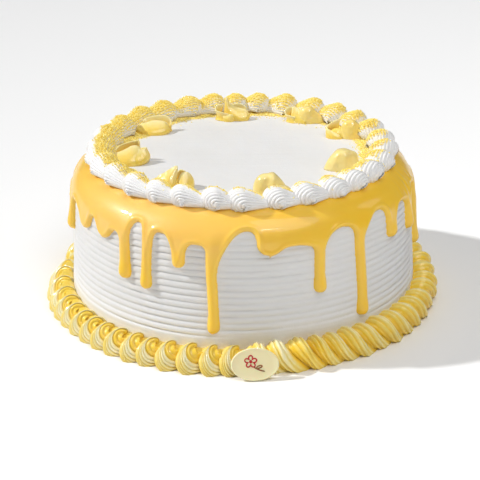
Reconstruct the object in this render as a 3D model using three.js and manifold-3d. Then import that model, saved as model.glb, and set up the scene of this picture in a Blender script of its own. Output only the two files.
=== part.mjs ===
// A round celebration cake: combed white icing, a glossy mango glaze that drips
// down the side, a piped shell border and folded dollops on top, a piped rope
// border round the foot and a small oval plaque that leans on it.
// Millimetres, +Z up. The origin is the middle of the cake's flat base, and
// angles are in degrees, counted anticlockwise seen from above. -90 is the front.

import * as THREE from 'three';
import { ParametricGeometry } from 'three/addons/geometries/ParametricGeometry.js';
import { mergeVertices } from 'three/addons/utils/BufferGeometryUtils.js';
import Module from 'manifold-3d';

// Driving dimensions of the iced body
const footRadius = 118.3;
const sideTaper = 0.055;
const topHeight = 98.4;
const rimAcross = 28;
const rimDown = 20;
const bodySides = 42;
const combPitch = 4.36;
const combDepth = 0.9;
const combFrom = 18.9;
const combRidges = 14;

// Driving dimensions of the glaze
const glazeThickness = 2.8;
const glazeFilm = 2;
const glazeInnerRadius = 89.6;
const glazeBead = 1.8;
const glazeRoot = 1.6;
const clearance = 0.3;

// Driving dimensions of the two piped borders
const shellCount = 30;
const shellRingRadius = 95.2;
const shellHalfWidth = 11;
const shellHeight = 9.6;
const shellCentreHeight = 101.2;
const shellSlant = 2.2;
const firstShellAngle = -127;
const ropeCount = 58;
const ropeCentreRadius = 126.5;
const ropeCentreHeight = 7;
const ropeHalfWidth = 9.6;
const ropeHalfHeight = 9.8;
const ropeSlant = 1.5;
const ropeFootShare = 0.72;

// Driving dimensions of the plaque
const plaqueWidth = 30;
const plaqueHeight = 20.4;
const plaqueThickness = 2.2;
const plaqueLean = 22;
const plaqueAngle = -87.3;
const plaqueFootRadius = 139.6;

// Each drip of the glaze: where it hangs, the height its tip reaches, its width,
// and the height of the arch between it and the next one
const drips = [
  { at: -169.3, tip: 55, width: 9.2, arch: 79 },
  { at: -152.5, tip: 69, width: 12, arch: 81 },
  { at: -140.6, tip: 71, width: 8, arch: 77 },
  { at: -130.6, tip: 48, width: 9.2, arch: 87 },
  { at: -121.5, tip: 45, width: 8, arch: 83.5 },
  { at: -110.5, tip: 63, width: 8.2, arch: 80 },
  { at: -99.7, tip: 21, width: 7.8, arch: 88 },
  { at: -81.8, tip: 73, width: 8, arch: 78 },
  { at: -65.2, tip: 44, width: 8.4, arch: 83 },
  { at: -49.9, tip: 20.5, width: 8.6, arch: 85 },
  { at: -33.5, tip: 63.5, width: 10, arch: 82 },
  { at: -18.8, tip: 58.5, width: 9.2, arch: 84 },
  { at: -5, tip: 36, width: 8.2, arch: 82 },
  { at: 10, tip: 66, width: 9.2, arch: 86 },
  { at: 24, tip: 50, width: 8.4, arch: 80 },
  { at: 39, tip: 71, width: 10, arch: 84 },
  { at: 53, tip: 30, width: 8, arch: 87 },
  { at: 70, tip: 61, width: 8.8, arch: 81 },
  { at: 84, tip: 42, width: 8.4, arch: 85 },
  { at: 101, tip: 68, width: 10, arch: 83 },
  { at: 116, tip: 25, width: 8, arch: 88 },
  { at: 132, tip: 57, width: 8.8, arch: 80 },
  { at: 146, tip: 70, width: 10, arch: 83 },
  { at: 160, tip: 39, width: 8.2, arch: 86 },
  { at: 176, tip: 64, width: 9.2, arch: 80 },
];

// Each dollop: where it sits, its width along the ring, its height, and its turn
const dollopRingRadius = 75.4;
const dollopDepth = 17;
const dollops = [
  { at: -171, width: 23, height: 15, turn: 12 },
  { at: -126, width: 21.5, height: 14, turn: -10 },
  { at: -76, width: 22, height: 14.5, turn: 4 },
  { at: -25, width: 22.5, height: 13.5, turn: -8 },
  { at: 24.5, width: 24, height: 13, turn: 10 },
  { at: 57, width: 25, height: 12, turn: -6 },
  { at: 95.5, width: 23, height: 12.5, turn: 8 },
  { at: 141, width: 22.5, height: 14, turn: -12 },
];

const rad = THREE.MathUtils.degToRad;
const rimCentreRadius = footRadius - sideTaper * (topHeight - rimDown) - rimAcross;
const rimCentreHeight = topHeight - rimDown;

// Outline of the iced body

// A point of the body's smooth outline at a height, moved out along its normal
function skin(height, out) {
  const lift = Math.max(height - rimCentreHeight, 0) / rimDown;
  const reach = Math.sqrt(1 - lift * lift);
  const side = footRadius - sideTaper * height;
  const radius = lift > 0 ? rimCentreRadius + rimAcross * reach : side;
  const normal = new THREE.Vector2(reach / rimAcross, lift / rimDown).normalize();
  return new THREE.Vector2(radius, height).addScaledVector(normal, out);
}

// The outline's point at a turn up the rounded rim: 0 is its foot, 90 the flat top
const rimTurns = [12, 26, 40, 54, 68, 80];
function rimPoint(turn, out) {
  return skin(rimCentreHeight + rimDown * Math.sin(rad(turn)), out);
}

function combHeights() {
  return Array.from({ length: combRidges }, (_, i) => combFrom + i * combPitch);
}

function bodyProfile(combed, out) {
  const points = [new THREE.Vector2(0, -out), new THREE.Vector2(footRadius + out, -out)];
  if (combed) {
    for (const height of combHeights()) {
      points.push(skin(height, out - combDepth));
      points.push(skin(height + combPitch / 2, out));
    }
  }
  points.push(skin(rimCentreHeight, out));
  for (const turn of rimTurns) points.push(rimPoint(turn, out));
  points.push(new THREE.Vector2(rimCentreRadius, topHeight + out));
  points.push(new THREE.Vector2(0, topHeight + out));
  return points;
}

// Closed meshes

// Merges a closed surface's seams and turns its faces outward
function closed(geometry) {
  geometry.deleteAttribute('normal');
  geometry.deleteAttribute('uv');
  const merged = mergeVertices(geometry, 1e-4);
  const position = merged.attributes.position;
  const corner = [new THREE.Vector3(), new THREE.Vector3(), new THREE.Vector3()];
  const faces = [];
  let volume = 0;
  for (let i = 0; i < merged.index.count; i += 3) {
    const face = [0, 1, 2].map((k) => merged.index.getX(i + k));
    if (face[0] === face[1] || face[1] === face[2] || face[2] === face[0]) continue;
    face.forEach((vertex, k) => corner[k].fromBufferAttribute(position, vertex));
    volume += corner[0].dot(corner[1].cross(corner[2]));
    faces.push(face);
  }
  merged.setIndex(faces.flatMap((face) => (volume < 0 ? [face[0], face[2], face[1]] : face)));
  return merged;
}

function lathe(profile, sides) {
  return closed(new THREE.LatheGeometry(profile, sides).rotateX(Math.PI / 2));
}

// A closed ring: the section at each angle is a list of points (radius, height)
function ring(columns, sectionAt) {
  const sections = columns.map(sectionAt);
  const around = sections[0].length;
  const place = (u, v, target) => {
    const column = Math.round(u * columns.length) % columns.length;
    const point = sections[column][Math.round(v * around) % around];
    const angle = rad(columns[column].angle + (point.ahead ?? 0));
    target.set(point.x * Math.cos(angle), point.x * Math.sin(angle), point.y);
  };
  return closed(new ParametricGeometry(place, columns.length, around));
}

// Joining and cutting
const wasm = await Module();
wasm.setup();

function solid(geometry) {
  return new wasm.Manifold(new wasm.Mesh({
    numProp: 3,
    vertProperties: new Float32Array(geometry.attributes.position.array),
    triVerts: new Uint32Array(geometry.index.array),
  }));
}

function geometryOf(manifold) {
  const mesh = manifold.getMesh();
  const geometry = new THREE.BufferGeometry();
  geometry.setAttribute('position', new THREE.BufferAttribute(mesh.vertProperties, 3));
  geometry.setIndex(new THREE.BufferAttribute(mesh.triVerts, 1));
  return geometry;
}

// Glaze

const arcPerDegree = rad(footRadius);
const collarTurn = 40;
const shoulderTurn = 62;
const brinkTurn = 83;

// Lower edge of the glaze as a run of columns round the cake, eight for each drip
function glazeColumns() {
  const sideSlope = 0.5;
  return drips.flatMap((drip, i) => {
    const next = drips[(i + 1) % drips.length];
    const nextAt = next.at < drip.at ? next.at + 360 : next.at;
    const half = drip.width / 2 / arcPerDegree;
    const soft = sideSlope / arcPerDegree;
    const from = drip.at + half + soft;
    const to = nextAt - next.width / 2 / arcPerDegree - soft;
    const drop = 0.4 * (to - from) * arcPerDegree;
    const archEnd = (neighbour) => Math.min(drip.arch - 0.6,
      Math.max(drip.arch - drop, neighbour.tip + neighbour.width * 0.6));
    const leftEnd = archEnd(drip);
    const rightEnd = archEnd(next);
    const shoulder = drip.tip + drip.width * 0.3;
    const along = (t) => from + (to - from) * t;
    return [
      { angle: drip.at - half + soft, low: shoulder, thick: 2.2 },
      { angle: drip.at, low: drip.tip, thick: 3.2 },
      { angle: drip.at + half - soft, low: shoulder, thick: 2.2 },
      { angle: from, low: leftEnd, thick: 2.4 },
      { angle: along(0.2), low: leftEnd + 0.8 * (drip.arch - leftEnd), thick: 2.4 },
      { angle: along(0.5), low: drip.arch, thick: 2.4 },
      { angle: along(0.8), low: rightEnd + 0.8 * (drip.arch - rightEnd), thick: 2.4 },
      { angle: to, low: rightEnd, thick: 2.4 },
    ];
  });
}

// The glaze's section: over the rim and down the side to a rounded lower edge.
// Its back lies inside the body and is cut away to the body's own skin.
function glazeSection({ low, thick }) {
  const edge = low + glazeBead;
  const collar = rimPoint(collarTurn, glazeThickness);
  const middle = Math.max((rimPoint(collarTurn, 0).y + edge) / 2, rimPoint(rimTurns[0], 0).y);
  return [
    new THREE.Vector2(glazeInnerRadius - 1, topHeight - glazeRoot),
    rimPoint(brinkTurn, glazeFilm),
    rimPoint(shoulderTurn, glazeThickness),
    collar,
    skin(middle, glazeThickness),
    skin(edge, thick),
    skin(low, glazeBead / 2),
    skin(low + glazeBead / 2, -glazeRoot),
  ];
}

function glazeGeometry() {
  const over = solid(ring(glazeColumns(), glazeSection));
  const core = solid(lathe(bodyProfile(false, clearance), bodySides));
  return geometryOf(over.subtract(core));
}

// Height of the glaze's upper face at a radius
function glazeTop(radius) {
  const across = (radius - rimCentreRadius) / (rimAcross + glazeThickness);
  return rimCentreHeight + (rimDown + glazeThickness) * Math.sqrt(1 - across * across);
}

// Piped borders

// Hand piping isn't even: the shells lag and lead a little round the ring
function pipingDrift(angle) {
  const bump = (centre, spread, size) => {
    const away = THREE.MathUtils.euclideanModulo(angle - centre + 180, 360) - 180;
    return size * Math.exp(-((away / spread) ** 2));
  };
  return bump(-22, 26, 5) + bump(70, 18, 4);
}

// One station list for a border: stations along each unit, with its fullness
function borderColumns(count, firstAngle, stations, drift) {
  const pitch = 360 / count;
  return Array.from({ length: count }, (_, unit) => unit).flatMap((unit) => stations.map((station) => {
    const even = firstAngle + (unit + station.at) * pitch;
    return { angle: even + drift(even), ...station };
  }));
}

function shellSection({ wide, tall }) {
  const saddleRadius = 97;
  const points = [-12, 26, 64, 98, 142, 192].map((turn) => {
    const across = Math.cos(rad(turn)) * shellHalfWidth * wide;
    const up = Math.sin(rad(turn)) * shellHeight * tall;
    const point = new THREE.Vector2(shellRingRadius + across, shellCentreHeight + up);
    point.ahead = -shellSlant * Math.cos(rad(turn));
    return point;
  });
  points.at(-1).y = topHeight + clearance;
  points.push(new THREE.Vector2(glazeInnerRadius - 2, glazeTop(glazeInnerRadius) + clearance));
  points.push(new THREE.Vector2(saddleRadius, glazeTop(saddleRadius) + 2 * clearance));
  return points;
}

const shellStations = [
  { at: 0, wide: 0.83, tall: 0.62 },
  { at: 0.18, wide: 0.97, tall: 0.92 },
  { at: 0.42, wide: 1, tall: 1 },
  { at: 0.64, wide: 0.95, tall: 0.86 },
  { at: 0.85, wide: 0.86, tall: 0.68 },
];

function ropeSection({ wide, tall }) {
  const points = [-38, 8, 58, 112].map((turn) => {
    const across = Math.cos(rad(turn)) * ropeHalfWidth * wide;
    const up = Math.sin(rad(turn)) * ropeHalfHeight * tall;
    const point = new THREE.Vector2(ropeCentreRadius + across, ropeCentreHeight + up);
    point.ahead = -ropeSlant * Math.sin(rad(turn));
    return point;
  });
  const inner = footRadius + 2 * clearance;
  points.push(new THREE.Vector2(inner, 0));
  points.push(new THREE.Vector2(ropeCentreRadius + ropeHalfWidth * wide * ropeFootShare, 0));
  return points;
}

const ropeStations = [
  { at: 0, wide: 0.84, tall: 0.8 },
  { at: 0.3, wide: 1, tall: 1 },
  { at: 0.68, wide: 0.97, tall: 0.95 },
];

// Dollops: a flat-footed blob with uneven lobes and one deep fold across its crest
function dollopGeometry({ width, height }, index) {
  const geometry = new THREE.SphereGeometry(1, 12, 6).rotateX(Math.PI / 2);
  const position = geometry.attributes.position;
  const foot = -0.35;
  const lean = 0.16;
  const lobeDepth = 0.07;
  const foldDepth = 0.24;
  const foldWidth = 0.3;
  const foldSlant = 0.25;
  for (let i = 0; i < position.count; i += 1) {
    const x = position.getX(i);
    const y = position.getY(i);
    const z = Math.max(position.getZ(i), foot);
    const turn = Math.atan2(y, x);
    const lobe = 1 + lobeDepth * Math.cos(3 * turn + index);
    const fold = foldDepth * Math.exp(-(((y - foldSlant * x) / foldWidth) ** 2));
    const rise = (z - foot) / (1 - foot) * (1 - fold + lean * y);
    position.setXYZ(i, x * lobe * dollopDepth / 2, y * lobe * width / 2, rise * height);
  }
  return closed(geometry);
}

// Materials

const material = (color, roughness) => new THREE.MeshStandardMaterial({ color, roughness, metalness: 0 });
const whiteIcing = material(0xf3f2ee, 0.6);
const whiteShells = material(0xf6f5f2, 0.55);
const mangoGlaze = material(0xf4bb3c, 0.2);
const ropeIcing = material(0xf3dc6e, 0.5);
const yellowCream = material(0xf3cf58, 0.35);
const creamPlaque = material(0xeee3b4, 0.4);

// The cake, piece by piece

const cake = new THREE.Group();

function addPiece(name, geometry, finish, parent = cake) {
  const mesh = new THREE.Mesh(geometry, finish);
  mesh.name = name;
  parent.add(mesh);
  return mesh;
}

addPiece('cake_body', lathe(bodyProfile(true, 0), bodySides), whiteIcing);
addPiece('drip_glaze', glazeGeometry(), mangoGlaze);

const shells = borderColumns(shellCount, firstShellAngle, shellStations, pipingDrift);
addPiece('top_border', ring(shells, shellSection), whiteShells);

const rope = borderColumns(ropeCount, plaqueAngle, ropeStations, () => 0);
addPiece('bottom_border', ring(rope, ropeSection), ropeIcing);

dollops.forEach((dollop, index) => {
  const place = new THREE.Group();
  place.rotation.z = rad(dollop.at);
  const piece = addPiece(`dollop_${index + 1}`, dollopGeometry(dollop, index), yellowCream, place);
  piece.position.set(dollopRingRadius, 0, topHeight + clearance);
  piece.rotation.z = rad(dollop.turn);
  cake.add(place);
});

// The plaque's lower edge stands on the ground and its back leans on the rope
const plaquePlace = new THREE.Group();
plaquePlace.rotation.z = rad(plaqueAngle);
const plaqueShape = new THREE.CylinderGeometry(1, 1, plaqueThickness, 32);
plaqueShape.scale(plaqueWidth / 2, 1, plaqueHeight / 2).rotateZ(Math.PI / 2);
const plaque = addPiece('plaque', closed(plaqueShape), creamPlaque, plaquePlace);
plaque.rotation.y = -rad(plaqueLean);
const lean = rad(plaqueLean);
plaque.position.x = plaqueFootRadius
  - (plaqueHeight / 2) * Math.sin(lean) + (plaqueThickness / 2) * Math.cos(lean);
plaque.position.z = (plaqueHeight / 2) * Math.cos(lean) + (plaqueThickness / 2) * Math.sin(lean);
cake.add(plaquePlace);

export default cake;
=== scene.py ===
import math

import bpy
import numpy as np
from mathutils import Matrix, Vector
from mathutils.bvhtree import BVHTree


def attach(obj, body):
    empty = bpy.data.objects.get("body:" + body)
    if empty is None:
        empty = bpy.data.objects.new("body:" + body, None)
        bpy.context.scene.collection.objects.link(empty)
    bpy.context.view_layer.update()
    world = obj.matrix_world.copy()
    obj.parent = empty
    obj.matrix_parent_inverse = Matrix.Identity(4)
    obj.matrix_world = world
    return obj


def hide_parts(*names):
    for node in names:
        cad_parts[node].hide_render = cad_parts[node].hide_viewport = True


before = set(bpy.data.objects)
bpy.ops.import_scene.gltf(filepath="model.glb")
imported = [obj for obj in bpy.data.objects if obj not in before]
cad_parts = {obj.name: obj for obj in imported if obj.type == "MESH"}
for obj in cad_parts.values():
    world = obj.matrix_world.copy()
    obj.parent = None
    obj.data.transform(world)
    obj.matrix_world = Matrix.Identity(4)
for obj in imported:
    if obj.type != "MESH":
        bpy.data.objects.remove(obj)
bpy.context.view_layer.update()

# Sizes in millimetres, angles in degrees anticlockwise seen from above, -90 the front
MM = 0.001
FOOT_RADIUS = 118.3
SIDE_TAPER = 0.055
TOP_HEIGHT = 98.4
RIM_ACROSS = 28
RIM_DOWN = 20
RIM_HEIGHT = TOP_HEIGHT - RIM_DOWN
RIM_RADIUS = FOOT_RADIUS - SIDE_TAPER * RIM_HEIGHT - RIM_ACROSS
COMB_PITCH = 4.36
COMB_FROM = 14.5
COMB_DEPTH = 1.1
ARC = 115.0

random = np.random.default_rng(7)


# Camera and light

def aim(position, target, roll=0.0):
    """Matrix of something at position that looks along its -Z at target."""
    position, target = Vector(position), Vector(target)
    ahead = (target - position).normalized()
    right = ahead.cross(Vector((0, 0, 1))).normalized()
    up = right.cross(ahead)
    turn = math.radians(roll)
    across = right * math.cos(turn) - up * math.sin(turn)
    above = right * math.sin(turn) + up * math.cos(turn)
    matrix = Matrix((across, above, -ahead)).transposed().to_4x4()
    matrix.translation = position
    return matrix


def add_camera():
    elevation = math.radians(24.69)
    data = bpy.data.cameras.new("camera")
    data.sensor_width = 36
    data.lens = 1571.5 / 480 * 36
    data.clip_start = 0.05
    camera = bpy.data.objects.new("camera", data)
    bpy.context.collection.objects.link(camera)
    away = 1.1
    place = (0, -away * math.cos(elevation), away * math.sin(elevation))
    camera.matrix_world = aim(place, (-0.00194, 0, 0.0354), roll=0.82)
    bpy.context.scene.camera = camera


def add_light(name, kind, azimuth, elevation, away, energy, size, colour=(1, 1, 1)):
    data = bpy.data.lights.new(name, kind)
    data.energy = energy
    data.color = colour
    if kind == "SUN":
        data.angle = math.radians(size)
    elif isinstance(size, tuple):
        data.shape = "RECTANGLE"
        data.size, data.size_y = size
    else:
        data.shape = "DISK"
        data.size = size
    light = bpy.data.objects.new(name, data)
    bpy.context.collection.objects.link(light)
    a, e = math.radians(azimuth), math.radians(elevation)
    place = Vector((math.cos(a) * math.cos(e), math.sin(a) * math.cos(e), math.sin(e))) * away
    light.matrix_world = aim(place, (0, 0, 0.05))


def add_world(strength):
    world = bpy.data.worlds.new("studio")
    world.use_nodes = True
    background = world.node_tree.nodes["Background"]
    background.inputs["Color"].default_value = (1, 1, 1, 1)
    background.inputs["Strength"].default_value = strength
    bpy.context.scene.world = world


bpy.context.scene.view_settings.view_transform = "Standard"
add_camera()
add_light("key", "SUN", 174, 40, 2.0, 2.5, 3.0)
add_light("top_fill", "AREA", -58, 60, 1.6, 9.6, 1.2)
add_light("overhead", "AREA", 90, 72, 1.6, 2.2, 0.9)
add_light("rim", "AREA", 16, 36, 1.6, 0.65, 0.4)
add_light("glint", "AREA", -73, 50, 1.6, 1.6, (0.5, 0.03))
add_world(0.17)


# Shader helpers

class Shader:
    """A material made of nodes, with short calls for the nodes that it needs."""

    def __init__(self, name):
        self.material = bpy.data.materials.new(name)
        self.material.use_nodes = True
        self.tree = self.material.node_tree
        self.shader = self.tree.nodes["Principled BSDF"]

    def node(self, kind, **values):
        node = self.tree.nodes.new(kind)
        for key, value in values.items():
            setattr(node, key, value)
        return node

    def link(self, source, target):
        self.tree.links.new(source, target)

    def set(self, **values):
        for key, value in values.items():
            self.shader.inputs[key.replace("_", " ")].default_value = value

    def coordinates(self, scale=(1, 1, 1), uv=None):
        mapping = self.node("ShaderNodeMapping")
        mapping.inputs["Scale"].default_value = scale
        if uv:
            source = self.node("ShaderNodeUVMap", uv_map=uv).outputs["UV"]
        else:
            source = self.node("ShaderNodeTexCoord").outputs["Object"]
        self.link(source, mapping.inputs["Vector"])
        return mapping.outputs["Vector"]

    def noise(self, vector, scale, detail=3.0, roughness=0.5):
        noise = self.node("ShaderNodeTexNoise")
        self.link(vector, noise.inputs["Vector"])
        noise.inputs["Scale"].default_value = scale
        noise.inputs["Detail"].default_value = detail
        noise.inputs["Roughness"].default_value = roughness
        return noise.outputs["Fac"]

    def cells(self, vector, scale):
        cells = self.node("ShaderNodeTexVoronoi")
        self.link(vector, cells.inputs["Vector"])
        cells.inputs["Scale"].default_value = scale
        return cells.outputs["Distance"]

    def attribute(self, name):
        return self.node("ShaderNodeAttribute", attribute_name=name).outputs["Fac"]

    def range(self, value, low, high, to_low=0.0, to_high=1.0):
        node = self.node("ShaderNodeMapRange")
        self.link(value, node.inputs["Value"])
        node.inputs["From Min"].default_value = low
        node.inputs["From Max"].default_value = high
        node.inputs["To Min"].default_value = to_low
        node.inputs["To Max"].default_value = to_high
        return node.outputs["Result"]

    def mix(self, factor, first, second):
        node = self.node("ShaderNodeMix", data_type="RGBA")
        self.link(factor, node.inputs["Factor"])
        for socket, value in ((node.inputs["A"], first), (node.inputs["B"], second)):
            if isinstance(value, tuple):
                socket.default_value = (*value, 1)
            else:
                self.link(value, socket)
        return node.outputs["Result"]

    def add(self, first, second):
        node = self.node("ShaderNodeMath", operation="ADD")
        self.link(first, node.inputs[0])
        self.link(second, node.inputs[1])
        return node.outputs[0]

    def bump(self, height, distance, strength=1.0, normal=None):
        node = self.node("ShaderNodeBump")
        self.link(height, node.inputs["Height"])
        node.inputs["Distance"].default_value = distance * MM
        node.inputs["Strength"].default_value = strength
        if normal:
            self.link(normal, node.inputs["Normal"])
        return node.outputs["Normal"]

    def finish(self, colour, roughness, normal):
        self.link(colour, self.shader.inputs["Base Color"])
        self.link(roughness, self.shader.inputs["Roughness"])
        self.link(normal, self.shader.inputs["Normal"])
        return self.material


def icing_material():
    """White whipped icing: faint warm mottling, fine air holes, streaks along the comb, and painted bounce light that
    lightens the side near the foot.
    """
    s = Shader("white_icing_finish")
    s.set(IOR=1.42, Subsurface_Weight=0.12, Subsurface_Scale=0.001)
    s.shader.inputs["Subsurface Radius"].default_value = (1.0, 0.8, 0.6)
    s.set(Specular_IOR_Level=0.35)
    flow = s.coordinates((1, 1, 1), uv="flow")
    across = s.coordinates((0.02, 1, 1), uv="flow")
    solid = s.coordinates()
    cloud = s.range(s.noise(solid, 22, 4), 0.35, 0.7)
    colour = s.mix(cloud, (0.77, 0.765, 0.76), (0.745, 0.738, 0.722))
    # Painted bounce light: the side is lighter near the foot, over the shade by the rope.
    foot = s.attribute("foot")
    colour = s.mix(foot, colour, (0.92, 0.925, 0.93))
    colour = s.mix(s.attribute("dust"), colour, (0.92, 0.72, 0.18))
    streak = s.noise(across, 1.6, 4, 0.6)
    fine = s.noise(flow, 1.3, 5, 0.62)
    pits = s.range(s.cells(solid, 700), 0.0, 0.35)
    roughness = s.range(fine, 0.3, 0.7, 0.42, 0.6)
    normal = s.bump(streak, 0.35)
    normal = s.bump(fine, 0.22, normal=normal)
    normal = s.bump(pits, 0.06, normal=normal)
    return s.finish(colour, roughness, normal)


def shell_material():
    """White piped icing: fine drag lines and pits on the modelled ridges."""
    s = Shader("white_shell_finish")
    s.set(IOR=1.42, Subsurface_Weight=0.1, Subsurface_Scale=0.0006, Specular_IOR_Level=0.4)
    s.shader.inputs["Subsurface Radius"].default_value = (1.0, 0.85, 0.7)
    solid = s.coordinates()
    cloud = s.range(s.noise(solid, 60, 3), 0.3, 0.7)
    colour = s.mix(cloud, (0.90, 0.892, 0.885), (0.87, 0.862, 0.85))
    colour = s.mix(s.attribute("dust"), colour, (0.92, 0.68, 0.11))
    fine = s.noise(solid, 900, 4, 0.6)
    pits = s.range(s.cells(solid, 1100), 0.0, 0.4)
    roughness = s.range(fine, 0.3, 0.7, 0.35, 0.55)
    normal = s.bump(fine, 0.05)
    normal = s.bump(pits, 0.03, normal=normal)
    return s.finish(colour, roughness, normal)


def glaze_material():
    """Mango glaze: wet, slightly clear, thicker and deeper in colour where it gathers; paler over the front and left,
    a painted sheen.
    """
    s = Shader("mango_glaze_finish")
    s.set(IOR=1.42, Coat_Weight=0.55, Coat_Roughness=0.06, Subsurface_Weight=0.2)
    s.set(Subsurface_Scale=0.002, Specular_IOR_Level=0.42)
    s.shader.inputs["Subsurface Radius"].default_value = (1.0, 0.55, 0.12)
    solid = s.coordinates()
    cloud = s.range(s.noise(solid, 30, 3), 0.3, 0.7)
    colour = s.mix(cloud, (0.98, 0.60, 0.035), (0.97, 0.575, 0.02))
    # Painted sheen: a paler, bluer orange over the front and left of the side and rim, standing in for a broad
    # reflection.
    colour = s.mix(s.attribute("painted_sheen"), colour, (0.99, 0.59, 0.14))
    colour = s.mix(s.attribute("edge"), colour, (0.97, 0.62, 0.07))
    wave = s.noise(solid, 60, 1, 0.4)
    fine = s.noise(solid, 380, 3, 0.5)
    roughness = s.range(fine, 0.3, 0.7, 0.36, 0.44)
    normal = s.bump(wave, 0.16)
    normal = s.bump(fine, 0.006, normal=normal)
    return s.finish(colour, roughness, normal)


def rope_material():
    """Two-tone piped icing: pale cream ridges beside saturated yellow ones, with painted shade in the grooves and the
    creases between strands.
    """
    s = Shader("rope_icing_finish")
    s.set(IOR=1.43, Subsurface_Weight=0.15, Subsurface_Scale=0.001, Specular_IOR_Level=0.4)
    s.set(Coat_Weight=0.8, Coat_Roughness=0.08)
    s.shader.inputs["Subsurface Radius"].default_value = (1.0, 0.8, 0.3)
    solid = s.coordinates()
    tone = s.attribute("tone")
    streak = s.noise(solid, 260, 4, 0.6)
    drift = s.range(streak, 0.3, 0.7, -0.12, 0.12)
    tone = s.add(tone, drift)
    deep = s.range(tone, 0.5, 1.0)
    colour = s.mix(s.range(tone, 0.0, 0.5), (0.94, 0.86, 0.52), (0.93, 0.72, 0.16))
    colour = s.mix(deep, colour, (0.95, 0.63, 0.04))
    # Painted shade: tone past 1.25, in the grooves near the creases between strands, darkens to orange-brown.
    colour = s.mix(s.range(tone, 1.25, 1.85), colour, (0.72, 0.40, 0.03))
    fine = s.noise(solid, 900, 4, 0.6)
    roughness = s.range(fine, 0.3, 0.7, 0.34, 0.5)
    normal = s.bump(s.noise(solid, 300, 2), 0.18)
    normal = s.bump(fine, 0.05, normal=normal)
    return s.finish(colour, roughness, normal)


def cream_material():
    """Smooth yellow cream with a soft wet gloss, thin drag lines and faint paler swirls."""
    s = Shader("yellow_cream_finish")
    s.set(IOR=1.45, Subsurface_Weight=0.2, Subsurface_Scale=0.0012, Coat_Weight=0.9)
    s.set(Coat_Roughness=0.06)
    s.shader.inputs["Subsurface Radius"].default_value = (1.0, 0.75, 0.2)
    solid = s.coordinates()
    swirl = s.range(s.noise(solid, 110, 3, 0.55), 0.35, 0.7)
    colour = s.mix(swirl, (0.94, 0.645, 0.08), (0.95, 0.70, 0.15))
    colour = s.mix(s.attribute("thin"), colour, (0.97, 0.82, 0.38))
    fine = s.noise(solid, 420, 4, 0.55)
    roughness = s.range(fine, 0.3, 0.7, 0.26, 0.42)
    normal = s.bump(s.noise(solid, 160, 2), 0.6)
    normal = s.bump(fine, 0.08, normal=normal)
    return s.finish(colour, roughness, normal)


def sugar_material():
    """Coloured sugar: yellow grains, each its own shade by place, with a faint painted glow."""
    s = Shader("sugar_finish")
    # Painted light: a faint yellow emission makes the grains glow, lifting their shaded facets.
    s.set(IOR=1.5, Emission_Strength=0.08)
    s.shader.inputs["Emission Color"].default_value = (1, 0.85, 0.3, 1)
    solid = s.coordinates()
    shade = s.range(s.noise(solid, 600, 1), 0.35, 0.65)
    colour = s.mix(shade, (0.91, 0.69, 0.10), (0.95, 0.82, 0.30))
    roughness = s.range(shade, 0.0, 1.0, 0.18, 0.4)
    normal = s.bump(s.noise(solid, 2500, 2), 0.05)
    return s.finish(colour, roughness, normal)


def plaque_material():
    """White chocolate: satin, with a faint bloom."""
    s = Shader("cream_plaque_finish")
    s.set(IOR=1.45, Subsurface_Weight=0.2, Subsurface_Scale=0.003)
    solid = s.coordinates()
    bloom = s.range(s.noise(solid, 180, 4), 0.3, 0.7)
    colour = s.mix(bloom, (0.91, 0.82, 0.50), (0.89, 0.80, 0.47))
    fine = s.noise(solid, 1200, 3)
    roughness = s.range(fine, 0.3, 0.7, 0.36, 0.5)
    normal = s.bump(bloom, 0.05)
    normal = s.bump(fine, 0.03, normal=normal)
    return s.finish(colour, roughness, normal)


def paint_material(name, first, second):
    s = Shader(name)
    s.set(IOR=1.45)
    solid = s.coordinates()
    cloud = s.range(s.noise(solid, 700, 3), 0.35, 0.65)
    roughness = s.range(cloud, 0, 1, 0.35, 0.5)
    return s.finish(s.mix(cloud, first, second), roughness, s.bump(cloud, 0.05))


def floor_material():
    s = Shader("floor_finish")
    solid = s.coordinates()
    cloud = s.range(s.noise(solid, 2, 3), 0.3, 0.7)
    colour = s.mix(cloud, (0.955, 0.955, 0.955), (0.95, 0.95, 0.95))
    roughness = s.range(cloud, 0, 1, 0.85, 0.9)
    return s.finish(colour, roughness, s.bump(cloud, 0.01))


# Mesh helpers

def volume(points, faces):
    """Volume inside the faces, below zero where they face inwards."""
    a = points[faces[:, 0]]
    total = 0
    for k in range(1, faces.shape[1] - 1):
        total += (a * np.cross(points[faces[:, k]], points[faces[:, k + 1]])).sum() / 6
    return total


def add_mesh(name, points, faces, material, smooth=True):
    """A mesh object from points in millimetres and an array of faces."""
    mesh = bpy.data.meshes.new(name)
    faces = np.asarray(faces, dtype=np.int32)
    if volume(np.asarray(points), faces) < 0:
        faces = faces[:, ::-1]
    mesh.vertices.add(len(points))
    mesh.vertices.foreach_set("co", (np.asarray(points) * MM).astype(np.float32).ravel())
    mesh.loops.add(faces.size)
    mesh.loops.foreach_set("vertex_index", faces.ravel())
    mesh.polygons.add(len(faces))
    starts = np.arange(len(faces), dtype=np.int32) * faces.shape[1]
    mesh.polygons.foreach_set("loop_start", starts)
    mesh.update(calc_edges=True)
    mesh.validate()
    mesh.polygons.foreach_set("use_smooth", np.full(len(mesh.polygons), smooth))
    piece = bpy.data.objects.new(name, mesh)
    bpy.context.collection.objects.link(piece)
    mesh.materials.append(material)
    return piece


def add_values(piece, name, values):
    layer = piece.data.attributes.new(name, "FLOAT", "POINT")
    layer.data.foreach_set("value", np.asarray(values, dtype=np.float32))


def add_flow(piece, u, v):
    """A UV layer in centimetres along and up the side, for streaks that follow the comb."""
    layer = piece.data.uv_layers.new(name="flow")
    corner = np.empty(len(piece.data.loops), dtype=np.int32)
    piece.data.loops.foreach_get("vertex_index", corner)
    pairs = np.stack([np.asarray(u)[corner], np.asarray(v)[corner]], 1) * 0.1
    layer.data.foreach_set("uv", pairs.astype(np.float32).ravel())


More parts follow.
